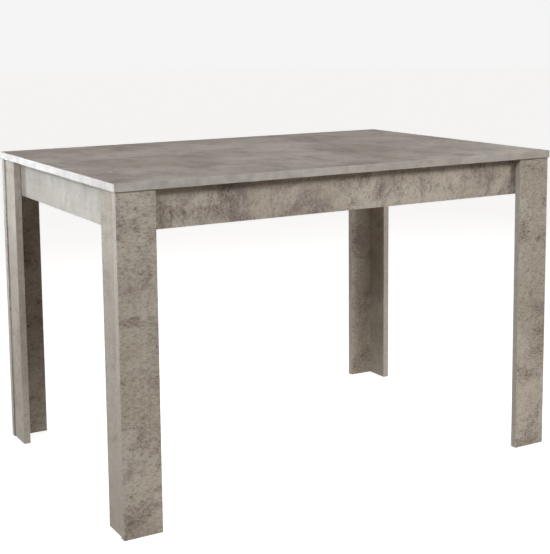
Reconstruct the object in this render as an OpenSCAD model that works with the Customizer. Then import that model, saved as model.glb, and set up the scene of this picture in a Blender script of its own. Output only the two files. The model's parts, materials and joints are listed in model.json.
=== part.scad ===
// Extendable dining table: one fixed top on four angle-section board legs.
// Each short apron is the front of a pull-out end frame, whose two steel
// runners slide in hat-section guides screwed under the top. Two extension
// leaves lie stored, turned a quarter, on battens under the guides.
// X runs along the table, Y across it, Z up; the floor is Z = 0.

/* [Table] */
// Length of the closed table
table_l = 1200; // [1150:10:1600]
// Width of the table, and length of a leaf
table_w = 800; // [760:10:1000]
// Height of the table
table_h = 780; // [720:5:800]
// Thickness of the top and of the leaves
top_t = 18; // [16:1:28]
// Overhang of the top past the legs
overhang = 3; // [1:1:10]
// Thickness of the edge bands
band_t = 1; // [0.5:0.5:2]
// Chamfer on the long edges of every board
arris = 0.5; // [0.2:0.1:1.0]

/* [Legs and aprons] */
// Thickness of leg, apron and end boards
board_t = 18; // [16:1:22]
// Width of a leg's face board, on the long side
face_w = 92; // [80:1:120]
// Depth of the angle-section leg, face board included
leg_d = 92; // [80:1:110]
// How far a side board is set back from the face board's end
reveal = 3; // [0:0.5:6]
// Height of the aprons
apron_h = 90; // [86:1:120]
// Diameter of the dowels in the legs
dowel_d = 8; // [6:1:8]
// Length of the dowels in the legs
dowel_l = 30; // [24:1:36]
// Width of a corner block
block_w = 30; // [24:1:34]
// Height of a corner block
block_h = 80; // [60:1:84]

/* [Leaves] */
// Width of one leaf, and travel of one end frame
leaf_w = 400; // [300:10:420]
// Diameter of the locating pins
pin_d = 8; // [6:1:8]
// Length of a locating pin below the leaf
pin_out = 8; // [5:1:8]
// Depth of a locating pin in the leaf
pin_in = 10; // [6:1:12]
// Distance of each row of pins from the leaf's long edge
pin_inset = 100; // [60:5:120]

/* [Runners and guides] */
// Length of a runner tube
runner_l = 737; // [660:1:780]
// Width of a runner tube
runner_w = 20; // [18:1:22]
// Height of a runner tube
runner_h = 30; // [26:1:40]
// Wall of a runner tube
tube_t = 2; // [1.5:0.5:3]
// Sheet thickness of the guides
guide_t = 1.5; // [1:0.5:2]
// Width of a guide's flange
flange_w = 12; // [11:0.5:12]
// Thickness of the nylon liner between guide and runner
liner_t = 2; // [1.5:0.5:2.5]
// Length of the nylon liner
liner_l = 24; // [16:1:40]
// Thickness of the plate on the end of a runner
plate_t = 3; // [2:0.5:4]
// Width of that plate
plate_w = 44; // [42:1:46]
// Height of that plate
plate_h = 60; // [56:1:70]
// Diameter of the stop bolts
stop_d = 6; // [5:1:8]

/* [Storage] */
// Width of a storage batten
batten_w = 40; // [24:1:50]
// Height of a storage batten
batten_h = 18; // [14:1:30]
// Width of a leaf catch
catch_w = 16; // [12:1:20]
// Thickness of a leaf catch
catch_t = 4; // [3:0.5:6]
// Reach of a leaf catch above its pivot
catch_reach = 44; // [36:1:48]
// Sheet thickness of the small angle brackets
bracket_t = 2; // [1.5:0.5:3]
// Leg length of the small angle brackets
bracket_leg = 25; // [20:1:30]
// Width of the small angle brackets
bracket_w = 16; // [12:1:20]

/* [Clearances] */
// Gap between a moving piece and what it slides in or turns on
slide_gap = 0.3; // [0.2:0.1:0.5]
// Gap between the top and what slides under it
under_gap = 0.5; // [0.3:0.1:1.0]
// Gap at each end of an end apron, between the legs
apron_gap = 1.5; // [1:0.5:4]
// Gap between a stored leaf's end and its catch
store_gap = 2; // [1:0.5:5]
// Gap between the stored leaves and the guides above them
leaf_gap = 0.7; // [0.3:0.1:3]
// Distance of a runner's plate from the end of its apron
plate_gap = 1.5; // [0.5:0.5:6]
// Gap between the two guides that lie side by side
guide_gap = 2.4; // [0.4:0.1:6]

/* [Hidden] */
$fn = 48;

// Screws: diameter and length of the shank, diameter and height of the head
bite = 12;                         // depth of a screw or dowel in the board it holds
block_seat = 22;                   // wood above a corner block's counterbore
wood_screw = [4, 16, 7.5, 2.4];
leg_screw = [4, board_t + bite, 8, 2.4];
block_screw = [4, block_w + bite, 7.5, 2.4];
block_top_screw = [4, block_seat + bite, 8, 2.4];
catch_screw = [4, 20, 9, 2.4];

// Insets of the fixings, from the end or edge of the piece they hold
dowel_low = 100;
dowel_high = 40;
leg_screw_in = 20;
leg_screw_off = 16;
block_screw_in = 14;
block_side_pitch = 26;
guide_screw_in = 30;
plate_screw_in = 10;
stop_in = 36;

// Heights
top_z = table_h - top_t;           // underside of the top
apron_z = top_z - apron_h;         // lower edge of the aprons
runner_z = top_z - under_gap;      // upper face of the runners and end aprons
guide_fit = liner_t + slide_gap;   // from runner to guide, beside and below
guide_z = runner_z - runner_h - guide_fit - guide_t;  // underside of a guide
batten_z = guide_z - leaf_gap - 2 * top_t;            // upper face of the battens

// Plan of the legs and aprons, in the +X +Y corner
leg_x = table_l / 2 - overhang;            // outer end of a face board
leg_y = table_w / 2 - overhang;            // outer face of a face board
side_x = leg_x - reveal;                   // outer face of a side board
side_in_x = side_x - board_t;              // inner face of a side board
face_in_y = leg_y - board_t;               // inner face of a face board
side_end_y = leg_y - leg_d;                // free edge of a side board
apron_in_y = face_in_y - board_t;          // inner face of a long apron
end_in_x = side_in_x - board_t;            // inner face of an end apron
end_half_y = side_end_y - apron_gap;       // half length of an end apron

// Fixings of the legs
dowel_zs = [dowel_low, apron_z / 2, apron_z - dowel_high];
leg_screw_x = side_in_x - block_w - leg_screw_off;
leg_screw_zs = [apron_z + leg_screw_in, top_z - leg_screw_in];
block_cut = 4;                                       // chamfer of a corner block
block_off = block_w * 0.72;                          // its side screws, from its back
block_mid_z = top_z - block_h / 2;
block_apron_zs = [top_z - block_h + block_screw_in, top_z - block_screw_in];
block_side_zs = [block_mid_z - block_side_pitch / 2, block_mid_z + block_side_pitch / 2];
bracket_x = table_l / 6;                             // brackets under the top
bracket_hole = bracket_leg * 0.6;                    // from a bracket's heel to its hole

// Runners and guides of the left end
guide_in_w = runner_w + 2 * guide_fit;               // clear width of a guide
guide_out_w = guide_in_w + 2 * guide_t + 2 * flange_w;
outer_y = end_half_y - plate_gap - plate_w / 2;      // from the table's middle to the outer runner
inner_y = outer_y - guide_out_w - guide_gap;         // and to the inner one
end_runs = [outer_y, -inner_y];                      // lines of the end's two runners
plate_x = plate_t - end_in_x;                        // inner face of a plate
runner_x = plate_x + runner_l;                       // inner end of a tube
tube_r = 3;                                          // outer corner of a tube
cap_t = 6;                                           // head of an end cap
cap_r = 2;                                           // its corners
cap_plug = 14;                                       // its plug, in the tube
cap_wall = 2;                                        // wall of that plug
lip_t = 2;                                           // lip of a liner
mouth_gap = 3;                                       // from a plate to that lip
tail_gap = 4;                                        // from an end cap to the guide's end
guide_x0 = plate_x + mouth_gap + lip_t;              // outer end of a guide
guide_x1 = runner_x + cap_t + tail_gap;              // inner end of a guide
guide_r = 1;                                         // its inner bend radius
guide_h = top_z - guide_z;                           // its height
flange_y = guide_in_w / 2 + guide_t + flange_w / 2;  // middle of a flange
guide_screws_n = 4;
guide_screw_step = (guide_x1 - guide_x0 - 2 * guide_screw_in) / (guide_screws_n - 1);
guide_screw_xs = [
  for (i = [0 : guide_screws_n - 1]) guide_x0 + guide_screw_in + i * guide_screw_step
];
stop_x = guide_x0 + liner_l + stop_in;               // line of the stop pins
stop_slot_w = stop_d + 1;
stop_end = stop_d / 2 + slide_gap;                   // from a stop pin to its slot's end
stop_past = 3;                                       // height of a pin above the tube's wall
stop_head_h = 2;                                     // its riveted head under the guide
stop_head_rims = [stop_d + 2, stop_d + 5];           // lower and upper diameter of that head
stop_collar_h = 1;                                   // its collar on the guide's web
stop_collar_d = stop_d + 3;
stop_tip_h = 1;                                      // its tapered tip
stop_tip_d = stop_d - 1.6;
plate_r = 5;                                         // corner of a plate
plate_screw_y = (runner_w + plate_w) / 4;
plate_screw_zs = [runner_z - plate_h + plate_screw_in, runner_z - plate_screw_in];
cove_r = 9;                                          // finger cove under an end apron
cove_l = 150;

// Leaves and their storage
pin_u = leaf_w / 2 - pin_inset;                      // pins, from the leaf's middle
pin_hole_xs = [pin_u - table_l / 2 + leaf_w / 2, -pin_u - table_l / 2 + leaf_w / 2];
batten_x = table_w / 2 + store_gap;                  // outer face of a batten
catch_z = batten_z - batten_h / 2;                   // pivot of a catch
catch_x = batten_x + slide_gap;                      // back of a catch
catch_depth = catch_screw[1] - catch_t - 2 * slide_gap;  // screw's depth in the batten

concrete = "#a09a8e";
concrete_edge = "#b4b0a8";
steel = "#8d9094";
zinc = "#c4c4bf";
nylon = "#2b2b2d";
beech = "#c9a273";

// ---- Shared shapes ----

// A rectangle with its corners cut at 45 degrees
module cut_rect(a, b, c) {
  polygon([[c, 0], [a - c, 0], [a, c], [a, b - c], [a - c, b], [c, b], [0, b - c], [0, c]]);
}

// A board from lo to hi, chamfered on all its edges
module board(lo, hi) {
  size = hi - lo;
  translate(lo) intersection() {
    linear_extrude(size[2]) cut_rect(size[0], size[1], arris);
    translate([0, size[1], 0]) rotate([90, 0, 0])
      linear_extrude(size[1]) cut_rect(size[0], size[2], arris);
    rotate([90, 0, 90]) linear_extrude(size[0]) cut_rect(size[1], size[2], arris);
  }
}

// A rectangle with round corners, centred
module round_rect(a, b, r) {
  square([a - 2 * r, b], center = true);
  square([a, b - 2 * r], center = true);
  for (x = [r - a / 2, a / 2 - r], y = [r - b / 2, b / 2 - r]) translate([x, y]) circle(r);
}

// An upright U-shaped area of width w, from y = -h up to y = up, with round lower corners
module cup(w, h, r, up = 0) {
  translate([-w / 2, r - h]) square([w, h - r + up]);
  translate([r - w / 2, -h]) square([w - 2 * r, r]);
  for (x = [r - w / 2, w / 2 - r]) translate([x, r - h]) circle(r);
}

// A straight slot of width w from x = a to x = b, both at its round ends
module slot(a, b, w, h) {
  translate([a + w / 2, -w / 2, 0]) cube([b - a - w, w, h]);
  for (x = [a + w / 2, b - w / 2]) translate([x, 0, 0]) cylinder(h = h, d = w);
}

// A pan-head screw that points up +Z from its seat
module screw(s) {
  cylinder(h = s[1], d = s[0]);
  translate([0, 0, -s[3]]) cylinder(h = s[3], d1 = s[2] * 0.7, d2 = s[2]);
}

// A countersunk screw that points up +Z from the face it is flush with
module flat_screw(s) {
  cylinder(h = s[1], d = s[0]);
  cylinder(h = s[3], d1 = s[2], d2 = s[0]);
}

// The hole of a screw's shank
module shank(s) {
  cylinder(h = s[1], d = s[0]);
}

// Turn +Z to -X, to +X, to +Y
module to_left() { rotate([0, -90, 0]) children(); }
module to_right() { rotate([0, 90, 0]) children(); }
module to_rear() { rotate([-90, 0, 0]) children(); }

module mirror_if(on, axis) {
  if (on) mirror(axis) children();
  else children();
}

// Places what is drawn for the +X +Y corner in any corner
module corner(sx, sy) {
  mirror_if(sx < 0, [1, 0, 0]) mirror_if(sy < 0, [0, 1, 0]) children();
}

module every_corner() {
  for (sx = [-1, 1], sy = [-1, 1]) corner(sx, sy) children();
}

// Places what is drawn for the left end at either end
module at_end(right) {
  rotate([0, 0, right ? 180 : 0]) children();
}

// Places what is drawn at y = 0 on one runner line: 0 is the outer one
module at_run(right, run) {
  at_end(right) translate([0, end_runs[run], 0]) children();
}

module every_run() {
  for (right = [false, true], run = [0, 1]) at_run(right, run) children();
}

// Section of an edge band: x points outwards, y is the board's thickness
module band_profile(t) {
  r = band_t / 2;
  square([band_t - r, t]);
  translate([0, r]) square([band_t, t - 2 * r]);
  for (y = [r, t - r]) translate([band_t - r, y]) circle(r);
}

// An edge band along X on the face y = 0
module band(l, t) {
  rotate([90, 0, 90]) translate([0, 0, -l / 2]) linear_extrude(l) band_profile(t);
}

// The two edge bands on the ends of a board of size l x w, between its long bands
module end_bands(l, w, t) {
  for (s = [-90, 90]) rotate([0, 0, s])
    translate([0, l / 2 - band_t, 0]) band(w - 2 * band_t, t);
}

// The two edge bands along the full length l of that board
module long_bands(l, w, t) {
  for (s = [0, 180]) rotate([0, 0, s]) translate([0, w / 2 - band_t, 0]) band(l, t);
}

// An angle bracket: one leg on z = 0 along +X, one on x = 0 along +Z
module angle_bracket() {
  difference() {
    rotate([90, 0, 0]) linear_extrude(bracket_w, center = true) difference() {
      union() {
        square([bracket_leg, bracket_t]);
        square([bracket_t, bracket_leg]);
        square(2 * bracket_t);
      }
      translate([2 * bracket_t, 2 * bracket_t]) circle(bracket_t);
    }
    at_bracket_screws() shank(wood_screw);
  }
}

module at_bracket_screws() {
  translate([bracket_hole, 0, bracket_t]) rotate([180, 0, 0]) children();
  translate([bracket_t, 0, bracket_hole]) to_left() children();
}

// ---- Places of the fixings, in the +X +Y corner or on a runner line ----

module at_dowels() {
  for (z = dowel_zs) translate([side_in_x + board_t / 2, face_in_y + bite, z])
    rotate([90, 0, 0]) children();
}

module at_leg_screws() {
  for (z = leg_screw_zs) translate([leg_screw_x, apron_in_y, z]) to_rear() children();
}

module at_block_apron_screws() {
  for (z = block_apron_zs)
    translate([side_in_x - block_off, apron_in_y - block_w, z]) to_rear() children();
}

module at_block_side_screws() {
  for (z = block_side_zs)
    translate([side_in_x - block_w, apron_in_y - block_off, z]) to_right() children();
}

module at_block_top_screw() {
  translate([side_in_x - block_w / 2, apron_in_y - block_w / 2, top_z - block_seat]) children();
}

module at_top_bracket() {
  translate([bracket_x, apron_in_y, top_z]) rotate([0, 90, -90]) children();
}

module at_batten_bracket() {
  translate([batten_x - batten_w, apron_in_y, batten_z - batten_h / 2])
    rotate([-90, 0, 180]) children();
}

module at_guide_screws() {
  for (x = guide_screw_xs, y = [-flange_y, flange_y])
    translate([x, y, top_z - guide_t]) children();
}

module at_plate_screws() {
  for (y = [-plate_screw_y, plate_screw_y], z = plate_screw_zs)
    translate([plate_x, y, z]) to_left() children();
}

module at_catch(right) {
  at_end(right) translate([-catch_x, 0, catch_z]) to_left() children();
}

// ---- Top and legs ----

module table_top() {
  size = [table_l - 2 * band_t, table_w - 2 * band_t, top_t];
  color(concrete) difference() {
    translate([-size[0] / 2, -size[1] / 2, top_z]) cube(size);
    every_run() at_guide_screws() shank(wood_screw);
    every_corner() at_block_top_screw() shank(block_top_screw);
    every_corner() at_top_bracket() at_bracket_screws() shank(wood_screw);
  }
}

module top_long_edge_bands() {
  color(concrete_edge) translate([0, 0, top_z]) long_bands(table_l, table_w, top_t);
}

module top_end_edge_bands() {
  color(concrete_edge) translate([0, 0, top_z]) end_bands(table_l, table_w, top_t);
}

module leg_face(sx, sy) {
  color(concrete) corner(sx, sy) difference() {
    board([leg_x - face_w, face_in_y, 0], [leg_x, leg_y, top_z]);
    at_dowels() cylinder(h = dowel_l, d = dowel_d);
    at_leg_screws() shank(leg_screw);
  }
}

module leg_side(sx, sy) {
  color(concrete) corner(sx, sy) difference() {
    board([side_in_x, side_end_y, 0], [side_x, face_in_y, top_z]);
    at_dowels() cylinder(h = dowel_l, d = dowel_d);
    at_block_side_screws() shank(block_screw);
  }
}

module leg_dowels() {
  color(beech) every_corner() at_dowels() {
    cylinder(h = 1, d1 = dowel_d - 2, d2 = dowel_d);
    translate([0, 0, 1]) cylinder(h = dowel_l - 2, d = dowel_d);
    translate([0, 0, dowel_l - 1]) cylinder(h = 1, d1 = dowel_d, d2 = dowel_d - 2);
  }
}

module long_apron(sy) {
  color(concrete) difference() {
    corner(1, sy) board([-side_in_x, apron_in_y, apron_z], [side_in_x, face_in_y, top_z]);
    for (sx = [-1, 1]) corner(sx, sy) {
      at_leg_screws() shank(leg_screw);
      at_block_apron_screws() shank(block_screw);
      at_top_bracket() at_bracket_screws() shank(wood_screw);
      at_batten_bracket() at_bracket_screws() shank(wood_screw);
    }
  }
}

module leg_screws() {
  color(zinc) every_corner() at_leg_screws() screw(leg_screw);
}

// A corner block, counterbored from below for its screw into the top
module corner_block(sx, sy) {
  bore_h = block_h - block_seat;
  color(beech) corner(sx, sy) difference() {
    translate([side_in_x, apron_in_y, top_z - block_h]) linear_extrude(block_h)
      polygon([[0, 0], [-block_w, 0], [-block_w, block_cut - block_w],
               [block_cut - block_w, -block_w], [0, -block_w]]);
    at_block_apron_screws() shank(block_screw);
    at_block_side_screws() shank(block_screw);
    at_block_top_screw() shank(block_top_screw);
    at_block_top_screw() translate([0, 0, -bore_h]) cylinder(h = bore_h, d = block_top_screw[2] + 0.6);
  }
}

module corner_block_screws() {
  color(zinc) every_corner() {
    at_block_apron_screws() screw(block_screw);
    at_block_side_screws() screw(block_screw);
    at_block_top_screw() screw(block_top_screw);
  }
}

module top_brackets() {
  color(zinc) every_corner() at_top_bracket() angle_bracket();
}

module top_bracket_screws() {
  color(zinc) every_corner() at_top_bracket() at_bracket_screws() screw(wood_screw);
}

// ---- Guides under the top ----

// A hat section, open upwards, with a hole for its stop pin
module guide(right, run) {
  w = guide_in_w + 2 * guide_t;
  color(steel) at_run(right, run) difference() {
    translate([guide_x0, 0, top_z]) rotate([90, 0, 90]) linear_extrude(guide_x1 - guide_x0)
      difference() {
        union() {
          cup(w, guide_h, guide_r + guide_t);
          translate([-w / 2 - flange_w, -guide_t]) square([w + 2 * flange_w, guide_t]);
        }
        cup(guide_in_w, guide_h - guide_t, guide_r, up = 1);
      }
    at_guide_screws() shank(wood_screw);
    translate([stop_x, 0, guide_z]) cylinder(h = guide_t, d = stop_d);
  }
}

// A nylon liner at the mouth of each guide, with a lip over the guide's end
module guide_liners() {
  w = guide_in_w + 2 * guide_t;
  run_w = runner_w + 2 * slide_gap;
  run_h = guide_h - guide_t - liner_t;
  color(nylon) every_run() translate([guide_x0, 0, top_z]) rotate([90, 0, 90]) {
    linear_extrude(liner_l) difference() {
      cup(guide_in_w, guide_h - guide_t, guide_r);
      cup(run_w, run_h, tube_r, up = 1);
    }
    translate([0, 0, -lip_t]) linear_extrude(lip_t) difference() {
      cup(w, guide_h, guide_r + guide_t);
      cup(run_w, run_h, tube_r, up = 1);
    }
  }
}

module guide_screws() {
  color(zinc) every_run() at_guide_screws() screw(wood_screw);
}

// Riveted pins: the head below the guide, a collar and the stop above its web
module stop_pins() {
  shaft_h = runner_z - runner_h + tube_t + stop_past - stop_tip_h - guide_z;
  color(zinc) every_run() translate([stop_x, 0, guide_z]) {
    translate([0, 0, -stop_head_h])
      cylinder(h = stop_head_h, d1 = stop_head_rims[0], d2 = stop_head_rims[1]);
    cylinder(h = shaft_h, d = stop_d);
    translate([0, 0, guide_t]) cylinder(h = stop_collar_h, d = stop_collar_d);
    translate([0, 0, shaft_h]) cylinder(h = stop_tip_h, d1 = stop_d, d2 = stop_tip_d);
  }
}

// ---- Storage of the leaves ----

module storage_batten(right) {
  color(beech) at_end(right) difference() {
    board([-batten_x, -apron_in_y, batten_z - batten_h],
          [batten_w - batten_x, apron_in_y, batten_z]);
    for (sy = [-1, 1]) corner(-1, sy) at_batten_bracket() at_bracket_screws() shank(wood_screw);
    translate([-batten_x, 0, catch_z]) to_right() cylinder(h = catch_depth, d = catch_screw[0]);
  }
}

module batten_brackets() {
  color(zinc) every_corner() at_batten_bracket() angle_bracket();
}

module batten_bracket_screws() {
  color(zinc) every_corner() at_batten_bracket() at_bracket_screws() screw(wood_screw);
}

// The stored place of a leaf that is drawn centred, with its underside at z = 0
module stored(upper) {
  if (upper) translate([0, 0, batten_z + 2 * top_t]) rotate([180, 0, 90]) children();
  else translate([0, 0, batten_z]) rotate([0, 0, 90]) children();
}

module at_leaf_pins() {
  for (x = [-pin_u, pin_u], y = end_runs) translate([x, y, -pin_out]) children();
}

module leaf(upper) {
  size = [leaf_w - 2 * band_t, table_w - 2 * band_t, top_t];
  color(concrete) stored(upper) difference() {
    translate([-size[0] / 2, -size[1] / 2, 0]) cube(size);
    at_leaf_pins() cylinder(h = pin_out + pin_in, d = pin_d);
  }
}

module leaf_long_edge_bands(upper) {
  color(concrete_edge) stored(upper) rotate([0, 0, 90]) long_bands(table_w, leaf_w, top_t);
}

module leaf_end_edge_bands(upper) {
  color(concrete_edge) stored(upper) rotate([0, 0, 90]) end_bands(table_w, leaf_w, top_t);
}

// Locating pins with a tapered tip
module leaf_pins(upper) {
  tip = 1.5;
  color(zinc) stored(upper) at_leaf_pins() {
    cylinder(h = tip, d1 = pin_d - 2, d2 = pin_d);
    translate([0, 0, tip]) cylinder(h = pin_out + pin_in - tip, d = pin_d);
  }
}

// A turn button that stands before the ends of the stored leaves
module leaf_catch(right) {
  color(nylon) at_catch(right) difference() {
    linear_extrude(catch_t) difference() {
      union() {
        circle(d = catch_w);
        translate([0, -catch_w / 2]) square([catch_reach - catch_w / 2, catch_w]);
        translate([catch_reach - catch_w / 2, 0]) circle(d = catch_w);
      }
      circle(d = catch_screw[0] + 2 * slide_gap);
    }
    translate([catch_reach - catch_w / 2, 0, catch_t]) sphere(d = catch_w * 0.6);
  }
}

module catch_screws() {
  color(zinc) for (right = [false, true])
    at_catch(right) translate([0, 0, catch_t + slide_gap]) rotate([180, 0, 0]) screw(catch_screw);
}

// ---- End frames, drawn for the left end ----

// The apron of an end frame, with a finger cove along its lower inner edge
module end_apron(right) {
  color(concrete) at_end(right) difference() {
    board([-side_in_x, -end_half_y, apron_z], [-end_in_x, end_half_y, runner_z]);
    for (y = end_runs) translate([0, y, 0]) at_plate_screws() shank(wood_screw);
    translate([-end_in_x, 0, apron_z]) {
      rotate([90, 0, 0]) cylinder(h = cove_l - 2 * cove_r, r = cove_r, center = true);
      for (y = [cove_r - cove_l / 2, cove_l / 2 - cove_r]) translate([0, y, 0]) sphere(cove_r);
    }
  }
}

// A rectangular tube, slotted below for its stop pin and drilled above for the leaf's pins
module runner(right, run) {
  color(steel) at_run(right, run) difference() {
    translate([plate_x, 0, runner_z - runner_h / 2]) rotate([90, 0, 90]) linear_extrude(runner_l)
      difference() {
        round_rect(runner_w, runner_h, tube_r);
        round_rect(runner_w - 2 * tube_t, runner_h - 2 * tube_t, tube_r - tube_t);
      }
    translate([0, 0, runner_z - runner_h])
      slot(stop_x - stop_end, stop_x + leaf_w + stop_end, stop_slot_w, tube_t);
    for (x = pin_hole_xs) translate([x, 0, runner_z - tube_t])
      cylinder(h = tube_t, d = pin_d + 2 * slide_gap);
  }
}

// Plates welded to the runners' ends and screwed to the end apron
module runner_plates(right) {
  color(steel) for (run = [0, 1]) at_run(right, run) difference() {
    translate([-end_in_x, 0, runner_z - plate_h / 2]) rotate([90, 0, 90])
      linear_extrude(plate_t) round_rect(plate_w, plate_h, plate_r);
    at_plate_screws() flat_screw(wood_screw);
  }
}

module plate_screws(right) {
  color(zinc) for (run = [0, 1]) at_run(right, run) at_plate_screws() flat_screw(wood_screw);
}

// Nylon caps that close the tubes and steady them in the guides
module runner_caps(right) {
  head_w = guide_in_w - 2 * slide_gap;
  head_h = runner_h + liner_t;
  plug_w = runner_w - 2 * tube_t;
  plug_h = runner_h - 2 * tube_t;
  color(nylon) for (run = [0, 1]) at_run(right, run) {
    translate([runner_x, 0, runner_z]) rotate([90, 0, 90])
      linear_extrude(cap_t) translate([0, -head_h / 2]) round_rect(head_w, head_h, cap_r);
    translate([runner_x - cap_plug, 0, runner_z - runner_h / 2]) rotate([90, 0, 90])
      linear_extrude(cap_plug) difference() {
        round_rect(plug_w, plug_h, tube_r - tube_t);
        round_rect(plug_w - 2 * cap_wall, plug_h - 2 * cap_wall, tube_r - tube_t);
      }
  }
}

table_top();
top_long_edge_bands();
top_end_edge_bands();
leg_face(-1, -1);  // leg_front_left_face
leg_side(-1, -1);  // leg_front_left_side
leg_face(1, -1);  // leg_front_right_face
leg_side(1, -1);  // leg_front_right_side
leg_face(-1, 1);  // leg_rear_left_face
leg_side(-1, 1);  // leg_rear_left_side
leg_face(1, 1);  // leg_rear_right_face
leg_side(1, 1);  // leg_rear_right_side
leg_dowels();
long_apron(-1);  // apron_front
long_apron(1);  // apron_rear
leg_screws();
corner_block(-1, -1);  // corner_block_front_left
corner_block(1, -1);  // corner_block_front_right
corner_block(-1, 1);  // corner_block_rear_left
corner_block(1, 1);  // corner_block_rear_right
corner_block_screws();
top_brackets();
top_bracket_screws();
guide(false, 0);  // guide_left_outer
guide(false, 1);  // guide_left_inner
guide(true, 0);  // guide_right_outer
guide(true, 1);  // guide_right_inner
guide_liners();
guide_screws();
stop_pins();
storage_batten(false);  // storage_batten_left
storage_batten(true);  // storage_batten_right
batten_brackets();
batten_bracket_screws();
leaf(false);  // leaf_lower
leaf_long_edge_bands(false);  // leaf_lower_long_edge_bands
leaf_end_edge_bands(false);  // leaf_lower_end_edge_bands
leaf_pins(false);  // leaf_lower_pins
leaf(true);  // leaf_upper
leaf_long_edge_bands(true);  // leaf_upper_long_edge_bands
leaf_end_edge_bands(true);  // leaf_upper_end_edge_bands
leaf_pins(true);  // leaf_upper_pins
catch_screws();
leaf_catch(false);  // leaf_catch_left
leaf_catch(true);  // leaf_catch_right
end_apron(false);  // end_apron_left
runner(false, 0);  // runner_left_outer
runner(false, 1);  // runner_left_inner
runner_plates(false);  // runner_plates_left
runner_caps(false);  // runner_caps_left
plate_screws(false);  // plate_screws_left
end_apron(true);  // end_apron_right
runner(true, 0);  // runner_right_outer
runner(true, 1);  // runner_right_inner
runner_plates(true);  // runner_plates_right
runner_caps(true);  // runner_caps_right
plate_screws(true);  // plate_screws_right
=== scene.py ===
# %% [markdown]
# # An extendable dining table in a concrete look
# The table comes from the construction model as a fixed frame: boards, steel runners,
# guides, fasteners and the two stored leaves, each where it really sits. This lesson
# dresses it. Everything here is in metres, X along the table, Y across it and Z up.

# %% Load the frame
import json
import math

import bmesh
import bpy
from mathutils import Matrix, Vector


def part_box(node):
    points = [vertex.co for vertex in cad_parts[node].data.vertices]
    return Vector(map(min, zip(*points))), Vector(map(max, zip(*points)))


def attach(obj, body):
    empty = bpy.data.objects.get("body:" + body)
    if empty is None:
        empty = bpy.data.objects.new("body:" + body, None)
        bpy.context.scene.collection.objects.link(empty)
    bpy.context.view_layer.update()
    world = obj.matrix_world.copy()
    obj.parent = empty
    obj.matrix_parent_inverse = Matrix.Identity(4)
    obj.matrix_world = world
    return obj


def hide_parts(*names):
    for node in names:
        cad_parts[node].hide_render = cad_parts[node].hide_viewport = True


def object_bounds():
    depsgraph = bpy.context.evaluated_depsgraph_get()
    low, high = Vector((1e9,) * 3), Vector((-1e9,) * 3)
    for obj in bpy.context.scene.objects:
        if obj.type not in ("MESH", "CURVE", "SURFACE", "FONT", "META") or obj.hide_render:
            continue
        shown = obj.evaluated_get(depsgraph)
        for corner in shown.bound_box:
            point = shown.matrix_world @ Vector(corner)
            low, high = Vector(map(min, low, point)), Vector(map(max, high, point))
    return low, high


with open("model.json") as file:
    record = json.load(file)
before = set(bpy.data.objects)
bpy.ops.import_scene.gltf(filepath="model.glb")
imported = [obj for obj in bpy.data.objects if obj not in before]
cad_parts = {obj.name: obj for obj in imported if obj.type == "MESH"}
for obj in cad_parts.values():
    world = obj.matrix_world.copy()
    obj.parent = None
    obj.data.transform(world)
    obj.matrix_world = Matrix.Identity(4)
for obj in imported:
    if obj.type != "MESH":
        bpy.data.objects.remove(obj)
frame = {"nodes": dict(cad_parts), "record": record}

cad_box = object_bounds()
low, high = cad_box
table_nodes = frame["nodes"]
print(len(table_nodes), "nodes, the table measures", [round(v, 3) for v in high - low])

# %% [markdown]
# ## A short language for shaders
# A procedural material is a graph of small nodes. Written out in full each node takes
# five lines, so a few helpers come first: one adds any node and fills its inputs, the
# others name the handful of sums that every finish below is made of. Patterns read
# Object coordinates, which run in metres on these pieces, so a noise scale is the number
# of marks in a metre.

# %% Shader helpers
def plug(tree, node, inputs):
    """Fills inputs; a value may be a number, a colour or another node's output."""
    for name, value in inputs.items():
        if isinstance(value, bpy.types.NodeSocket):
            tree.links.new(value, node.inputs[name])
        else:
            node.inputs[name].default_value = value


def add(tree, kind, inputs=None, **settings):
    """Adds a node with its settings and inputs."""
    node = tree.nodes.new(kind)
    for name, value in settings.items():
        setattr(node, name, value)
    plug(tree, node, inputs or {})
    return node


def sums(tree, operation, a, b=0.0):
    return add(tree, "ShaderNodeMath", {0: a, 1: b}, operation=operation).outputs[0]


def vectors(tree, operation, a, b):
    return add(tree, "ShaderNodeVectorMath", {0: a, 1: b}, operation=operation).outputs[0]


def noise(tree, place, scale, detail, roughness=0.5, distortion=0.0):
    sockets = {"Vector": place, "Scale": scale, "Detail": detail,
               "Roughness": roughness, "Distortion": distortion}
    return add(tree, "ShaderNodeTexNoise", sockets).outputs[0]


def fade(tree, value, start, end, low_to=0.0, high_to=1.0):
    """A smooth step from low_to at start to high_to at end."""
    sockets = {"Value": value, "From Min": start, "From Max": end,
               "To Min": low_to, "To Max": high_to}
    return add(tree, "ShaderNodeMapRange", sockets, interpolation_type="SMOOTHSTEP").outputs[0]


def blend(tree, amount, a, b):
    """From colour a at amount 0 to colour b at amount 1."""
    return add(tree, "ShaderNodeMix", {0: amount, 6: a, 7: b}, data_type="RGBA").outputs[2]


def relief(tree, height, strength, depth):
    """Fine unevenness that only light sees; depth is in metres."""
    sockets = {"Height": height, "Strength": strength, "Distance": depth}
    return add(tree, "ShaderNodeBump", sockets).outputs[0]


def rgb(red, green, blue):
    """A paint-chart colour, 0 to 255, as the linear colour that shaders take."""
    def linear(v):
        v = v / 255
        return v / 12.92 if v <= 0.04045 else ((v + 0.055) / 1.055) ** 2.4
    return (linear(red), linear(green), linear(blue), 1.0)


def new_material(name):
    """A material, its tree, its surface node and its Object coordinates."""
    material = bpy.data.materials.new(name)
    material.use_nodes = True
    tree = material.node_tree
    position = add(tree, "ShaderNodeTexCoord").outputs["Object"]
    return material, tree, tree.nodes["Principled BSDF"], position


print("shader helpers ready")

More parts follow.
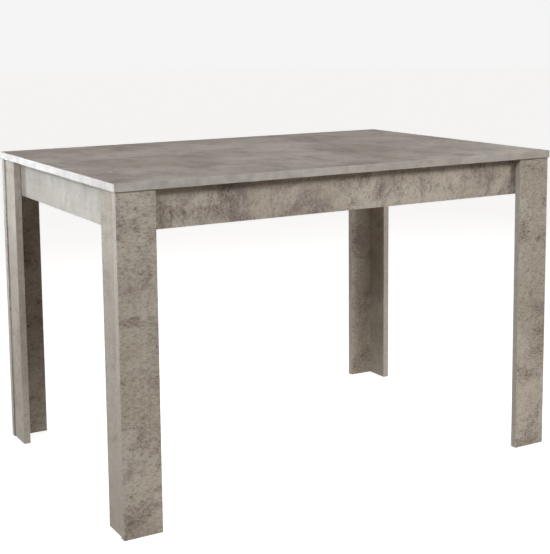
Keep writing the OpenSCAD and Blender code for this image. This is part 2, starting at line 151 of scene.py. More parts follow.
# %% [markdown]
# ## The concrete decor
# The boards are particle board under a printed paper that shows cast concrete: a warm
# grey ground with broad clouds, brown and slightly purple stains, fine cracks, small
# pores and the faint ripples that a shuttering board leaves. A scanned image would be
# the usual way, but it can't be resized and its seams show. Here each of those traits
# is one noise, sized in real metres, and the traits are laid over each other from the
# largest to the smallest. They live in one node group that every board shares, and
# each board only says where on the endless sheet it was cut.

# %% Colours of the decor
GROUND = rgb(167, 158, 144)
PALE = rgb(189, 181, 168)
STAIN = rgb(121, 109, 99)
DARK = rgb(101, 92, 82)
VIOLET = rgb(120, 106, 106)
PORE = rgb(76, 68, 60)
# the pale of the painted edge highlight along every corner line
EDGE_HIGHLIGHT = rgb(204, 200, 190)
BAND_DARK = rgb(170, 161, 150)
BAND_PALE = rgb(187, 179, 169)
print("ground of the decor, linear:", [round(v, 3) for v in GROUND[:3]])

# %% Opening a node group
def wrap(tree, inputs, outputs):
    """Opens a node group's own tree with its named sockets."""
    for socket, kind, value in inputs:
        item = tree.interface.new_socket(socket, in_out="INPUT", socket_type=kind)
        if value is not None:
            item.default_value = value
    for socket, kind in outputs:
        tree.interface.new_socket(socket, in_out="OUTPUT", socket_type=kind)
    return tree.nodes.new("NodeGroupInput"), tree.nodes.new("NodeGroupOutput")


def squeezed(tree, place, along, across):
    """Place at two rates, marks per metre along the board and across it."""
    return vectors(tree, "MULTIPLY", place, (along, across, across))


def moved(tree, place, x, y, z):
    """Another spot of the endless pattern, so that two traits don't share their marks."""
    return vectors(tree, "ADD", place, (x, y, z))


print("group helpers ready")

# %% The decor group
def decor_group():
    """The printed sheet. Place runs in metres with X along the board."""
    tree = bpy.data.node_groups.new("concrete decor", "ShaderNodeTree")
    start, end = wrap(
        tree,
        [("Place", "NodeSocketVector", None), ("Contrast", "NodeSocketFloat", 1.0),
         ("Mottle", "NodeSocketFloat", 1.0), ("Streaks", "NodeSocketFloat", 0.2)],
        [("Color", "NodeSocketColor"), ("Height", "NodeSocketFloat"),
         ("Roughness", "NodeSocketFloat")])
    place, contrast, mottle, streaks = (start.outputs[i] for i in range(4))

    def times(*factors):
        product = factors[0]
        for factor in factors[1:]:
            product = sums(tree, "MULTIPLY", product, factor)
        return product

    # Broad clouds, and the stains in them.
    clouds = fade(tree, noise(tree, place, 4.5, 4, 0.55, 0.3), 0.36, 0.64)
    colour = blend(tree, clouds, GROUND, PALE)
    stains = noise(tree, squeezed(tree, place, 13.0, 8.0), 1.0, 8, 0.72, 0.5)
    stains = fade(tree, stains, 0.47, 0.64)
    colour = blend(tree, times(stains, contrast, 0.62), colour, STAIN)
    violet = noise(tree, moved(tree, place, 5.3, 2.2, 8.8), 7.0, 5, 0.65, 0.4)
    violet = fade(tree, violet, 0.54, 0.68)
    colour = blend(tree, times(violet, contrast, 0.55), colour, VIOLET)

    # Small dark and pale marks, drawn out across the board, the dark ones mostly in stains.
    rows = noise(tree, squeezed(tree, place, 230.0, 120.0), 1.0, 5, 0.74, 0.2)
    density = fade(tree, stains, 0.0, 1.0, 0.45, 1.0)
    dark_rows = times(fade(tree, rows, 0.48, 0.66), density, mottle, 0.85)
    colour = blend(tree, dark_rows, colour, DARK)
    pale_rows = times(fade(tree, rows, 0.48, 0.34), mottle, 0.5)
    colour = blend(tree, pale_rows, colour, PALE)

    # Long streaks, as a shuttering board leaves them.
    streak = noise(tree, squeezed(tree, place, 3.0, 70.0), 1.0, 4, 0.6)
    colour = blend(tree, times(fade(tree, streak, 0.38, 0.66), streaks), colour, STAIN)

    # Pores in clusters.
    pits = noise(tree, moved(tree, place, 1.7, 9.2, 4.4), 230.0, 4, 0.7)
    clusters = noise(tree, moved(tree, place, 7.1, 3.3, 1.9), 16.0, 4, 0.6, 0.4)
    pits = times(fade(tree, pits, 0.56, 0.66), fade(tree, clusters, 0.50, 0.64), mottle)
    colour = blend(tree, times(pits, 0.8), colour, PORE)

    # A crack is where a wandering noise crosses its middle value.
    wander = noise(tree, moved(tree, place, 2.9, 4.1, 6.7), 11.0, 9, 0.72, 0.6)
    off_middle = sums(tree, "ABSOLUTE", sums(tree, "SUBTRACT", wander, 0.5))
    cracked = fade(tree, noise(tree, place, 5.0, 2), 0.56, 0.64)
    crack = times(fade(tree, off_middle, 0.0, 0.010, 1.0, 0.0), cracked, mottle)
    colour = blend(tree, times(crack, 0.45), colour, DARK)

    # The grain of the paper itself.
    grain = noise(tree, place, 480.0, 3, 0.75)
    lift = fade(tree, grain, 0.28, 0.72, 0.85, 1.15)
    colour = add(tree, "ShaderNodeVectorMath", {0: colour, "Scale": lift}, operation="SCALE")

    height = sums(tree, "SUBTRACT", times(grain, 0.4), sums(tree, "ADD", pits, times(crack, 0.6)))
    rough = sums(tree, "ADD", times(grain, 0.12), times(stains, 0.06))
    plug(tree, end, {"Color": colour.outputs[0], "Height": height,
                     "Roughness": sums(tree, "ADD", rough, 0.56)})
    return tree


concrete_sheet = decor_group()
print("decor group with", len(concrete_sheet.nodes), "nodes")

# %% [markdown]
# ## One board cut from that sheet
# A board is a flat box, so three things follow from its two corners alone: which faces
# are the printed ones, which are the narrow edges with their plain band, and how far a
# point is from the nearest corner line, where a pale highlight is painted on, as a rounded
# arris would catch the light. Each board gets its own material, because each one starts
# at another spot of the sheet and runs along its own length.

# %% Places on a board
X, Y, Z = 0, 1, 2


def parts(tree, vector):
    return add(tree, "ShaderNodeSeparateXYZ", {0: vector}).outputs


def joined(tree, x, y, z):
    return add(tree, "ShaderNodeCombineXYZ", {0: x, 1: y, 2: z}).outputs[0]


def corner_line(tree, position, lowest, highest):
    """Distance to the nearest edge of a box: the middle one of the three wall distances."""
    inside = vectors(tree, "MINIMUM", vectors(tree, "SUBTRACT", position, lowest),
                     vectors(tree, "SUBTRACT", highest, position))
    x, y, z = parts(tree, inside)
    smaller, larger = sums(tree, "MINIMUM", x, y), sums(tree, "MAXIMUM", x, y)
    return sums(tree, "MINIMUM", larger, sums(tree, "MAXIMUM", smaller, z))


# %% The material of one board
# Width of the painted edge highlight: a pale band along every corner line, where a rounded arris
# would catch the light.
HIGHLIGHT_START, HIGHLIGHT_END = 0.0002, 0.0016        # metres from the corner line


def board_material(name, run, flat, start, contrast, mottle, streaks=0.1,
                   tone=(1, 1, 1), banded=True):
    """Decor for one board: run is the axis of its length, flat the axis of its thickness."""
    lowest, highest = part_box(name)
    material, tree, surface, position = new_material(name + " decor")
    along = parts(tree, position)
    across = X + Y + Z - run - flat        # the axis that is left
    place = vectors(tree, "ADD", joined(tree, along[run], along[across], along[flat]), start)
    sheet = add(tree, "ShaderNodeGroup", node_tree=concrete_sheet)
    plug(tree, sheet, {"Place": place, "Contrast": contrast, "Mottle": mottle, "Streaks": streaks})
    colour = vectors(tree, "MULTIPLY", sheet.outputs["Color"], tone)

    if banded:
        facing = sums(tree, "ABSOLUTE", parts(tree, position.node.outputs["Normal"])[flat])
        band = fade(tree, facing, 0.45, 0.60, 1.0, 0.0)
        band_tone = fade(tree, noise(tree, position, 90.0, 5, 0.7), 0.35, 0.65)
        colour = blend(tree, band, colour, blend(tree, band_tone, BAND_DARK, BAND_PALE))
    # Painted highlight: every corner line is painted pale, unevenly strong along it, where a
    # rounded arris would catch the light.
    edge = corner_line(tree, position, lowest, highest)
    highlight_strength = fade(tree, noise(tree, position, 70.0, 4, 0.6), 0.35, 0.70, 0.15, 0.75)
    edge_marks = sums(tree, "MULTIPLY", fade(tree, edge, HIGHLIGHT_START, HIGHLIGHT_END, 1.0, 0.0), highlight_strength)
    plug(tree, surface, {
        "Base Color": blend(tree, edge_marks, colour, EDGE_HIGHLIGHT), "Roughness": sheet.outputs["Roughness"],
        "Normal": relief(tree, sheet.outputs["Height"], 0.25, 0.0004),
        "Specular IOR Level": 0.25})
    return material


# The pale band along the corner lines is a painted edge highlight.
print("paper rubbed pale up to", 1000 * HIGHLIGHT_END, "mm from a corner line")

# %% [markdown]
# The print isn't equally strong on every board. The aprons and the outer faces of the
# legs carry the darkest marks, the sides of the legs fewer, and the top, the leaves and
# the end aprons are calm. Tone tints a board a little: the top is a shade darker and
# cooler than the rest, the end aprons slightly cooler.

# %% Dressing the boards
def finish_node(name, material):
    for slot in table_nodes[name].material_slots:
        slot.material = material


def dress_board(name, *way, **print_values):
    finish_node(name, board_material(name, *way, **print_values))


dress_board("table_top", X, Z, (3.1, 0.4, 0.0), contrast=0.6, mottle=0.3, streaks=0.12,
            tone=(0.835, 0.83, 0.88), banded=False)
for index, side in enumerate(("front", "rear")):
    dress_board("apron_" + side, X, Y, (0.35 + 2.3 * index, 5.2, 1.1), contrast=1.2, mottle=1.3)
for index, end in enumerate(("left", "right")):
    dress_board("end_apron_" + end, Y, X, (8.4 + 1.7 * index, 2.6, 0.3),
                contrast=0.35, mottle=0.4, streaks=0.05, tone=(0.975, 1.01, 1.045))
legs = [(side, end) for side in ("front", "rear") for end in ("left", "right")]
for index, (side, end) in enumerate(legs):
    leg = f"leg_{side}_{end}_"
    shift = 2.9 * index
    dress_board(leg + "face", Z, Y, (12.35 + shift, 1.3, 4.0), contrast=0.9, mottle=1.3)
    dress_board(leg + "side", Z, X, (25.0 + shift, 6.3, 2.0), contrast=0.5, mottle=0.6)
for index, leaf in enumerate(("leaf_lower", "leaf_upper")):
    dress_board(leaf, X, Z, (40.0 + 1.9 * index, 3.4, 1.0),
                contrast=0.6, mottle=0.3, streaks=0.12, banded=False)
print(len(bpy.data.materials), "materials after the boards")

# %% [markdown]
# ## Edge bands
# The top and the leaves have separate bands, glued on their narrow sides: a plastic
# strip printed in a lighter, plainer grey. Only a faint speckle and the brushed marks
# of the trimming cutter show on it.

# %% Edge bands
def edge_band_material():
    material, tree, surface, position = new_material("edge band")
    tone = fade(tree, noise(tree, position, 24.0, 5, 0.65), 0.35, 0.65)
    colour = blend(tree, tone, rgb(164, 158, 150), rgb(184, 179, 171))
    speck = fade(tree, noise(tree, position, 260.0, 3, 0.7), 0.56, 0.68)
    colour = blend(tree, sums(tree, "MULTIPLY", speck, 0.35), colour, STAIN)
    edge_marks = fade(tree, noise(tree, position, 420.0, 2, 0.6), 0.30, 0.70, 0.42, 0.56)
    plug(tree, surface, {"Base Color": colour, "Roughness": edge_marks, "Specular IOR Level": 0.35,
                         "Normal": relief(tree, speck, 0.15, 0.0003)})
    return material


edge_band = edge_band_material()
bands = [name for name in table_nodes if name.endswith("edge_bands")]
for name in bands:
    finish_node(name, edge_band)
print("edge bands:", ", ".join(bands))

# %% [markdown]
# ## Metal, nylon and beech
# Under the top are the things that a hand finds but a guest doesn't see: galvanised
# guides and runners, zinc-plated fasteners, black nylon liners, caps and catches, and
# raw beech for the battens, corner blocks and dowels. Each is a real finish with its
# own marks: the soft crystals of hot zinc, drawing lines along a tube, moulding grain
# on nylon, and growth rings and pores in the wood.

# %% Metal, nylon and beech
def galvanised():
    material, tree, surface, position = new_material("galvanised steel")
    spangle = add(tree, "ShaderNodeTexVoronoi", {"Vector": position, "Scale": 120.0})
    shade = add(tree, "ShaderNodeSeparateColor", {"Color": spangle.outputs["Color"]}).outputs[0]
    drawn = noise(tree, squeezed(tree, position, 4.0, 700.0), 1.0, 3, 0.6)
    tone = sums(tree, "ADD", sums(tree, "MULTIPLY", shade, 0.3), sums(tree, "MULTIPLY", drawn, 0.7))
    colour = blend(tree, fade(tree, tone, 0.2, 0.8), rgb(156, 158, 160), rgb(190, 191, 192))
    plug(tree, surface, {"Base Color": colour, "Metallic": 0.9,
                         "Roughness": fade(tree, tone, 0.2, 0.8, 0.30, 0.48),
                         "Normal": relief(tree, drawn, 0.08, 0.0002)})
    return material


def zinc_plated():
    material, tree, surface, position = new_material("zinc plate")
    cloud = fade(tree, noise(tree, position, 160.0, 4, 0.6, 0.5), 0.35, 0.65)
    colour = blend(tree, cloud, rgb(196, 198, 196), rgb(214, 208, 190))
    plug(tree, surface, {"Base Color": colour, "Metallic": 1.0,
                         "Roughness": fade(tree, cloud, 0.0, 1.0, 0.22, 0.36),
                         "Normal": relief(tree, cloud, 0.05, 0.0001)})
    return material


def black_nylon():
    material, tree, surface, position = new_material("black nylon")
    grain = noise(tree, position, 900.0, 3, 0.6)
    scuff = fade(tree, noise(tree, position, 45.0, 5, 0.7), 0.50, 0.72)
    plug(tree, surface, {"Base Color": blend(tree, scuff, rgb(34, 34, 36), rgb(58, 58, 60)),
                         "Roughness": fade(tree, grain, 0.3, 0.7, 0.42, 0.60),
                         "Normal": relief(tree, grain, 0.2, 0.0001)})
    return material


def raw_beech():
    material, tree, surface, position = new_material("raw beech")
    bent = vectors(tree, "MULTIPLY", position, (60.0, 3.0, 60.0))
    rings = noise(tree, moved(tree, bent, 0.3, 0.1, 0.7), 1.0, 4, 0.55, 1.2)
    flecks = noise(tree, vectors(tree, "MULTIPLY", position, (700.0, 60.0, 700.0)), 1.0, 2, 0.6)
    colour = blend(tree, fade(tree, rings, 0.35, 0.65), rgb(206, 170, 128), rgb(184, 142, 100))
    colour = blend(tree, fade(tree, flecks, 0.58, 0.70, 0.0, 0.45), colour, rgb(140, 98, 64))
    plug(tree, surface, {"Base Color": colour,
                         "Roughness": fade(tree, rings, 0.3, 0.7, 0.55, 0.68),
                         "Normal": relief(tree, flecks, 0.15, 0.0002)})
    return material


finishes = {"steel": galvanised(), "zinc": zinc_plated(),
            "nylon": black_nylon(), "beech": raw_beech()}
for subpart in frame["record"]["subparts"]:
    if subpart["material_slot"] in finishes:
        finish_node(subpart["node"], finishes[subpart["material_slot"]])
print("finishes:", ", ".join(finishes))

# %% [markdown]
# ## Screws with driven heads
# In the construction model a screw is a peg with a cone behind it. Here each one gets a
# turned head with a cross recess and a shank with ridges and a point. Nothing is typed
# in: the loose solids of a screw node are taken apart, and each solid tells where its
# head is, which way it is driven and how large it is.

# %% Reading the screws
ON_END = 0.0001        # metres: points this close to an end lie on it


def solids_of(name):
    """The points of each separate solid in a CAD node."""
    mesh = table_nodes[name].data
    spots = [tuple(round(c, 6) for c in corner.co) for corner in mesh.vertices]
    chief = {spot: spot for spot in spots}

    def root(spot):
        while chief[spot] != spot:
            chief[spot] = chief[chief[spot]]
            spot = chief[spot]
        return spot

    for edge in mesh.edges:
        one, other = (root(spots[corner]) for corner in edge.vertices)
        chief[one] = other
    solids = {}
    for spot in chief:
        solids.setdefault(root(spot), []).append(Vector(spot))
    return list(solids.values())


def read_screw(points):
    """Middle of the head's top, the way it is driven, its length and its head's radius."""
    lowest, highest = Vector(map(min, zip(*points))), Vector(map(max, zip(*points)))
    axis = max((X, Y, Z), key=lambda i: highest[i] - lowest[i])
    middle = (lowest + highest) / 2

    def girth(end):
        ring = [point - middle for point in points if abs(point[axis] - end) < ON_END]
        for offset in ring:
            offset[axis] = 0
        return max(offset.length for offset in ring)

    head, tip = lowest[axis], highest[axis]
    if girth(head) < girth(tip):
        head, tip = tip, head
    middle[axis] = head
    aim = Vector((0, 0, 0))
    aim[axis] = 1 if tip > head else -1
    width = max(highest[i] - lowest[i] for i in (X, Y, Z) if i != axis)
    return middle, aim, abs(tip - head), width / 2


print("first leg screw:", read_screw(solids_of("leg_screws")[0]))

# %% [markdown]
# The head and the shank are turned once, at size 1, in a small lathe: a profile of
# (radius, depth) pairs spun round. The recess is a cross cut into the head's top face,
# narrowing towards its floor, as a driver needs it.

# %% A small lathe
RECESS_FLOOR = 0.55    # width of the recess at its floor, of its width at the rim


def cross_outline(reach, half):
    """The twelve corners of a cross, once round."""
    arm = [(reach, half), (half, half), (half, reach)]
    quarters = ((1, 0), (0, 1), (-1, 0), (0, -1))
    return [(x * c - y * s, x * s + y * c) for c, s in quarters for x, y in arm]


def turned(name, profile, recess=None, around=20):
    """Spins the profile round Z; recess is (reach, half width, depth) of a cross."""
    shape = bmesh.new()
    turns = [2 * math.pi * i / around for i in range(around)]
    rings = [[shape.verts.new((r * math.cos(t), r * math.sin(t), z)) for t in turns]
             for r, z in profile]
    for upper, lower in zip(rings, rings[1:]):
        for i in range(around):
            j = (i + 1) % around
            shape.faces.new((upper[i], upper[j], lower[j], lower[i]))
    shape.faces.new(rings[-1])
    if recess:
        reach, half, depth = recess
        top = profile[0][1]
        cross = cross_outline(reach, half)
        rim = [shape.verts.new((x, y, top)) for x, y in cross]
        floor = [shape.verts.new((RECESS_FLOOR * x, RECESS_FLOOR * y, top + depth))
                 for x, y in cross]
        centre = shape.verts.new((0, 0, top + depth))
        for i in range(len(cross)):
            j = (i + 1) % len(cross)
            shape.faces.new((rim[i], rim[j], floor[j], floor[i]))
            shape.faces.new((floor[i], floor[j], centre))
        border = [shape.edges.get((ring[i], ring[i - 1]))
                  for ring in (rings[0], rim) for i in range(len(ring))]
        bmesh.ops.triangle_fill(shape, edges=border, use_beauty=True)
    else:
        shape.faces.new(rings[0])
    bmesh.ops.recalc_face_normals(shape, faces=shape.faces)
    mesh = bpy.data.meshes.new(name)
    shape.to_mesh(mesh)
    shape.free()
    return bpy.data.objects.new(name, mesh)


CROSS = (0.52, 0.12, 0.60)
PAN = [(0.64, 0), (0.82, 0.10), (0.94, 0.30), (0.99, 0.60), (1, 0.85), (1, 1)]
COUNTERSUNK = [(0.97, 0), (1, 0.05), (1, 0.12), (0.54, 1)]
RIDGE = [(0.72, 0.0), (1.0, 0.02), (0.72, 0.04)]
RIDGES, FIRST_RIDGE, PITCH = 13, 0.22, 0.05

pan_head = turned("pan head", PAN, CROSS)
flat_head = turned("flat head", COUNTERSUNK, CROSS)
ridges = [(r, FIRST_RIDGE + PITCH * i + z) for i in range(RIDGES) for r, z in RIDGE]
shank = turned("shank", [(0.9, 0), (0.9, 0.2)] + ridges + [(0.6, 0.92), (0.08, 1)], around=12)
print("turned:", [(part.name, len(part.data.polygons)) for part in (pan_head, flat_head, shank)])

# %% [markdown]
# Placing over a hundred screws by hand would be dull and would look stamped, so a
# Geometry Nodes group does it. Its points carry three facts, the aim and the sizes of
# head and shank, and a seeded random turn leaves every recess as the driver left it.

# %% Helpers for Geometry Nodes
def geometry_group(name, *inputs):
    """A group's tree, what it is given and the socket for its result."""
    tree = bpy.data.node_groups.new(name, "GeometryNodeTree")
    start, end = wrap(tree, [(label, "NodeSocket" + kind, value) for label, kind, value in inputs],
                      [("Result", "NodeSocketGeometry")])
    return tree, start.outputs, end.inputs["Result"]


def fact(tree, name):
    """A vector kept on each point under this name."""
    return add(tree, "GeometryNodeInputNamedAttribute", {"Name": name},
               data_type="FLOAT_VECTOR").outputs["Attribute"]


def placed(tree, points, what, rotation, scale):
    """One copy of an object on every point."""
    source = add(tree, "GeometryNodeObjectInfo", {"Object": what, "As Instance": True})
    sockets = {"Points": points, "Instance": source.outputs["Geometry"],
               "Rotation": rotation, "Scale": scale}
    return add(tree, "GeometryNodeInstanceOnPoints", sockets).outputs[0]


def close_group(tree, pieces, finish, result):
    """Makes the copies real, gives them their finish and hands them out."""
    together = add(tree, "GeometryNodeJoinGeometry")
    for piece in pieces:
        tree.links.new(piece, together.inputs[0])
    real = add(tree, "GeometryNodeRealizeInstances", {"Geometry": together.outputs[0]}).outputs[0]
    done = add(tree, "GeometryNodeSetMaterial", {"Geometry": real, "Material": finish}).outputs[0]
    tree.links.new(done, result)


print("geometry helpers ready")

# %% The screw group
def screw_group():
    tree, given, result = geometry_group(
        "screws on points", ("Points", "Geometry", None), ("Head", "Object", None),
        ("Shank", "Object", None), ("Finish", "Material", None), ("Seed", "Int", 0))
    aimed = add(tree, "FunctionNodeAlignRotationToVector", {"Vector": fact(tree, "aim")},
                axis="Z").outputs[0]
    angle = add(tree, "FunctionNodeRandomValue", {2: 0.0, 3: math.pi, 8: given["Seed"]},
                data_type="FLOAT").outputs[1]
    twist = add(tree, "FunctionNodeAxisAngleToRotation",
                {"Axis": (0, 0, 1), "Angle": angle}).outputs[0]
    turn = add(tree, "FunctionNodeRotateRotation", {"Rotation": aimed, "Rotate By": twist},
               rotation_space="LOCAL").outputs[0]
    heads = placed(tree, given["Points"], given["Head"], turn, fact(tree, "head_size"))
    sunk = add(tree, "GeometryNodeSetPosition", {
        "Geometry": given["Points"], "Offset": fact(tree, "sink")}).outputs[0]
    shanks = placed(tree, sunk, given["Shank"], turn, fact(tree, "shank_size"))
    close_group(tree, (heads, shanks), given["Finish"], result)
    return tree


screws_on_points = screw_group()
print("screw group with", len(screws_on_points.nodes), "nodes")

# %% [markdown]
# The group runs as a modifier on a mesh that has nothing but points. Its inputs are
# filled before anything looks at the object. What it makes is then kept as a plain mesh
# and the modifier goes, because instances don't survive an export. The last helper does
# this for the screws of one body, and hides the plain pegs they stand in for.

# %% From points to a mesh
def grown(name, base, group, **values):
    """Runs a group on a mesh of points and keeps what it makes as a plain mesh."""
    piece = bpy.data.objects.new(name, base)
    bpy.context.collection.objects.link(piece)
    work = piece.modifiers.new("grow", "NODES")
    work.node_group = group
    for socket in group.interface.items_tree:
        if socket.in_out == "INPUT" and socket.name in values:
            work[socket.identifier] = values[socket.name]
    bpy.context.view_layer.update()
    made = piece.evaluated_get(bpy.context.evaluated_depsgraph_get())
    mesh = bpy.data.meshes.new_from_object(made)
    piece.modifiers.clear()
    piece.data = mesh
    return piece


def point_mesh(name, spots, **facts):
    """A mesh of loose points, each with its facts."""
    mesh = bpy.data.meshes.new(name)
    mesh.from_pydata(spots, [], [])
    for label, values in facts.items():
        layer = mesh.attributes.new(label, "FLOAT_VECTOR", "POINT")
        layer.data.foreach_set("vector", [c for value in values for c in value])
    return mesh


print("points can be grown into meshes")

# %% Driving the screws
HEAD_H, SHANK_R = 0.0024, 0.002            # metres
SEED = 7


def driven_screws(name, body, nodes, head):
    """One mesh with every screw of these nodes, riding on its body."""
    seats = [read_screw(points) for node in nodes for points in solids_of(node)]
    spots = point_mesh(
        name + " seats", [seat[0] for seat in seats],
        aim=[seat[1] for seat in seats],
        head_size=[(seat[3], seat[3], HEAD_H) for seat in seats],
        sink=[seat[1] * HEAD_H for seat in seats],
        shank_size=[(SHANK_R, SHANK_R, seat[2] - HEAD_H) for seat in seats])
    piece = grown(name, spots, screws_on_points,
                  Head=head, Shank=shank, Finish=finishes["zinc"], Seed=SEED)
    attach(piece, body)
    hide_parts(*nodes)
    print(name, len(seats), "screws,", len(piece.data.polygons), "faces")


fixed_nodes = frame["record"]["behaviour"]["bodies"]["table"]
table_screw_nodes = [node for node in fixed_nodes if node.endswith("_screws")]
driven_screws("driven_table_screws", "table", table_screw_nodes, pan_head)
for end in ("left", "right"):
    driven_screws("driven_plate_screws_" + end, "end_frame_" + end,
                  ["plate_screws_" + end], flat_head)

# %% [markdown]
# ## Weld beads
# Each runner tube is welded to its plate all round. A bead is a row of small frozen
# ripples, so its line is the tube's own outline, and the radius of the bead swells and
# shrinks along it.

# %% The bead group
BEAD_POINTS = 200      # points along one bead
RIPPLE_POINTS = 4      # points to one frozen ripple
RIPPLE, SWELL = 0.10, 0.5                  # shares of the bead's radius


def weld_group():
    """Beads round a rounded rectangle, with a radius that stays near 1 on average."""
    tree, given, result = geometry_group(
        "weld beads on points", ("Points", "Geometry", None), ("Width", "Float", 0.0),
        ("Height", "Float", 0.0), ("Corner", "Float", 0.0), ("Bead", "Float", 0.0),
        ("Finish", "Material", None))
    outline = add(tree, "GeometryNodeCurvePrimitiveQuadrilateral",
                  {"Width": given["Width"], "Height": given["Height"]}).outputs[0]
    rounded = add(tree, "GeometryNodeFilletCurve",
                  {"Curve": outline, "Radius": given["Corner"], "Count": 4}, mode="POLY").outputs[0]
    line = add(tree, "GeometryNodeResampleCurve",
               {"Curve": rounded, "Count": BEAD_POINTS}).outputs[0]

    step = add(tree, "GeometryNodeInputIndex").outputs[0]
    ripple = sums(tree, "SINE", sums(tree, "MULTIPLY", step, 2 * math.pi / RIPPLE_POINTS))
    wander = add(tree, "ShaderNodeTexNoise", {"Scale": 300.0, "Detail": 2.0}).outputs[0]
    change = sums(tree, "ADD", sums(tree, "MULTIPLY", ripple, RIPPLE),
                  sums(tree, "MULTIPLY", wander, SWELL))
    radius = sums(tree, "ADD", change, 1 - SWELL / 2)
    line = add(tree, "GeometryNodeSetCurveRadius", {"Curve": line, "Radius": radius}).outputs[0]

    profile = add(tree, "GeometryNodeCurvePrimitiveCircle",
                  {"Resolution": 8, "Radius": given["Bead"]}).outputs[0]
    bead = add(tree, "GeometryNodeCurveToMesh",
               {"Curve": line, "Profile Curve": profile, "Scale": radius}).outputs[0]
    upright = add(tree, "GeometryNodeTransform",
                  {"Geometry": bead, "Rotation": (math.pi / 2, 0, math.pi / 2)}).outputs[0]
    copies = add(tree, "GeometryNodeInstanceOnPoints",
                 {"Points": given["Points"], "Instance": upright}).outputs[0]
    close_group(tree, (copies,), given["Finish"], result)
    return tree


beads_on_points = weld_group()
print("bead group with", len(beads_on_points.nodes), "nodes")

# %% Weld beads
BEAD_R, TUBE_CORNER = 0.0012, 0.003        # metres
for end, outside in (("left", 0), ("right", 1)):
    boxes = [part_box(f"runner_{end}_{run}") for run in ("outer", "inner")]
    middles = [(lowest + highest) / 2 for lowest, highest in boxes]
    spots = [(box[outside].x, middle.y, middle.z) for box, middle in zip(boxes, middles)]
    size = boxes[0][1] - boxes[0][0]
    beads = grown("weld_beads_" + end, point_mesh("ends of the tubes", spots), beads_on_points,
                  Width=size.y, Height=size.z, Corner=TUBE_CORNER, Bead=BEAD_R,
                  Finish=finishes["steel"])
    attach(beads, "end_frame_" + end)
    print(beads.name, len(beads.data.polygons), "faces")

# %% [markdown]
# ## Floor
# A furniture studio is white all round. The table stands on a pale floor that runs out
# of sight into an equally pale surround. The floor glows a little, so that it stays
# pale in the shade of the table, but that glow is kept off the table itself: it would
# light the legs from below much more strongly than the lamps do.

# %% Floor
FLOOR_R = 30.0         # metres
FLOOR_GLOW = 0.81


def studio_floor():
    bpy.ops.mesh.primitive_circle_add(vertices=96, radius=FLOOR_R, fill_type="NGON",
                                      location=(0, 0, low.z))
    floor = bpy.context.object
    floor.name = "studio_floor"
    material, tree, surface, position = new_material("studio floor")
    tone = fade(tree, noise(tree, position, 2.0, 3, 0.5), 0.3, 0.7)
    plug(tree, surface, {
        "Base Color": blend(tree, tone, rgb(190, 190, 189), rgb(196, 196, 195)),
        "Emission Color": (1.0, 1.0, 1.0, 1.0), "Emission Strength": FLOOR_GLOW,
        "Roughness": 0.9, "Specular IOR Level": 0.1})
    floor.data.materials.append(material)
    floor.visible_diffuse = False


studio_floor()
print("floor at", round(low.z, 3))

# %% [markdown]
# ## Light
# Eight soft square lamps light the table. Two slightly cool ones on the left make the left
# end the brightest side. Two high ones, on the right and in front, keep the long side
# readable and draw the thin shadow under the top, and a weak low one lifts the feet as
# light from a pale floor would. Three behind give the rear a light of its own: a high
# one, and a low one at each corner that brightens the sides of the rear legs. A small
# spread keeps a lamp's light together, so that it brightens one side without washing
# out the next. The powers can be worked out instead of guessed. Light adds up, so the
# scene is rendered once with each lamp alone, and the best mix of those pictures gives
# the powers.

# %% Lamps
def lamp(name, place, target, width, power, tint, spread):
    """A soft square lamp; a small spread, in degrees, keeps its light together."""
    light = bpy.data.lights.new(name, "AREA")
    light.shape, light.size, light.spread = "SQUARE", width, math.radians(spread)
    light.energy, light.color = power, tint
    holder = bpy.data.objects.new(name, light)
    bpy.context.collection.objects.link(holder)
    holder.visible_camera = False
    holder.location = place
    holder.rotation_euler = (Vector(target) - Vector(place)).to_track_quat("-Z", "Y").to_euler()


COOL, PLAIN, WARM = (0.89, 0.94, 1.0), (1.0, 1.0, 1.0), (1.0, 0.97, 0.93)
lamp("window on the left", (-3.2, -1.2, 1.9), (-0.6, 0, 0.86),
     1.0, 2.8, COOL, spread=36)
lamp("broad light from the left", (-3.74, -2.09, 2.81), (-0.3, -0.1, 0.9),
     0.8, 6.0, COOL, spread=50)
lamp("high fill on the right", (3.4, -3.2, 3.0), (0.5, -0.3, 0.6),
     1.2, 20, PLAIN, spread=70)
lamp("high fill in front", (1.8, -3.6, 3.4), (0.3, -0.3, 0.6),
     1.2, 4.5, PLAIN, spread=70)
lamp("low fill in front", (-0.55, -4.0, 0.5), (0.05, -0.4, -0.1),
     0.6, 1.3, WARM, spread=26)
lamp("from the rear left", (-2.4, 3.4, 3.2), (-0.1, 0.3, 0.6),
     1.2, 12, PLAIN, spread=70)
lamp("low on the rear left", (-2.1, 3.8, 0.45), (-0.6, 0, 0.6),
     0.6, 2.0, COOL, spread=36)
lamp("low on the rear right", (3.6, 2.8, 1.2), (0.3, 0.2, 0.5),
     1.2, 3.5, PLAIN, spread=70)
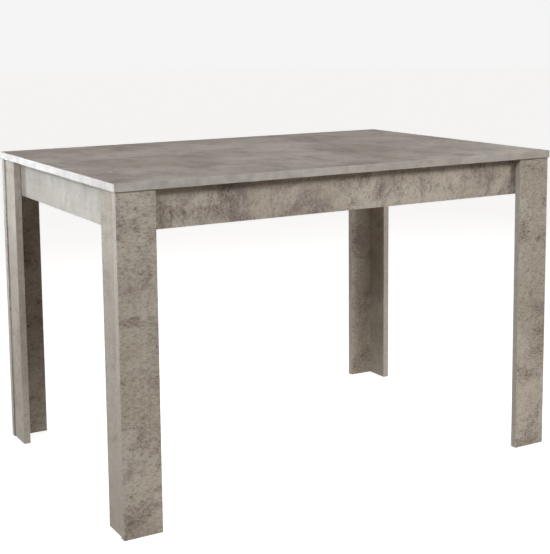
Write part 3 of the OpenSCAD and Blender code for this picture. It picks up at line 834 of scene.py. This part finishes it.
print(len(bpy.data.lights), "lamps")

# %% [markdown]
# ## Surround
# The surround adds a weak warm glow to the lamps, from below too, as a pale floor would:
# it reaches the inner faces of the legs. Seen directly it is brighter and has no colour.
# The two can differ, because a shader can ask whether a ray comes from the camera.

# %% Surround
def studio_surround():
    """Pale to look at; as a light, soft from above and weak from below."""
    world = bpy.data.worlds.new("studio surround")
    world.use_nodes = True
    tree = world.node_tree
    background = tree.nodes["Background"]
    height = parts(tree, add(tree, "ShaderNodeTexCoord").outputs["Generated"])[2]
    below, above = (0.190, 0.160, 0.138, 1.0), (0.178, 0.164, 0.146, 1.0)
    shown = (0.91, 0.91, 0.91, 1.0)
    glow = blend(tree, fade(tree, height, -0.25, 0.25), below, above)
    seen = add(tree, "ShaderNodeLightPath").outputs["Is Camera Ray"]
    plug(tree, background, {"Color": blend(tree, seen, glow, shown)})
    return world


bpy.context.scene.world = studio_surround()
bpy.context.scene.view_settings.view_transform = "Standard"
print("world:", bpy.context.scene.world.name)

# %% [markdown]
# ## Camera
# A studio camera slides its lens down instead of tipping down, because a tipped camera
# makes the legs lean together. The slide stays as it is when the camera walks round the
# table, and a large one would push the table out of the picture from higher up. So this
# camera does part of each: a small slide and a small tilt.

# %% Camera
EYE = (-1.506, -2.662, 1.094)
TURN, TILT, ROLL = -29.71, -7.42, 0.55     # degrees: to the right, down, clockwise
IMAGE_SIDE = 554                           # the longer side of the picture
FOCUS = 1174 / IMAGE_SIDE                  # focal length, in picture sides
RISE = -0.17                               # the lens is slid down to keep the uprights upright

camera = bpy.data.cameras.new("camera")
camera.lens = FOCUS * camera.sensor_width
camera.shift_y = RISE
eye = bpy.data.objects.new("camera", camera)
bpy.context.collection.objects.link(eye)
eye.matrix_world = (
    Matrix.Translation(EYE)
    @ Matrix.Rotation(math.radians(TURN), 4, "Z")
    @ Matrix.Rotation(math.radians(90 + TILT), 4, "X")
    @ Matrix.Rotation(math.radians(-ROLL), 4, "Z"))
bpy.context.scene.camera = eye
print("camera at", EYE)
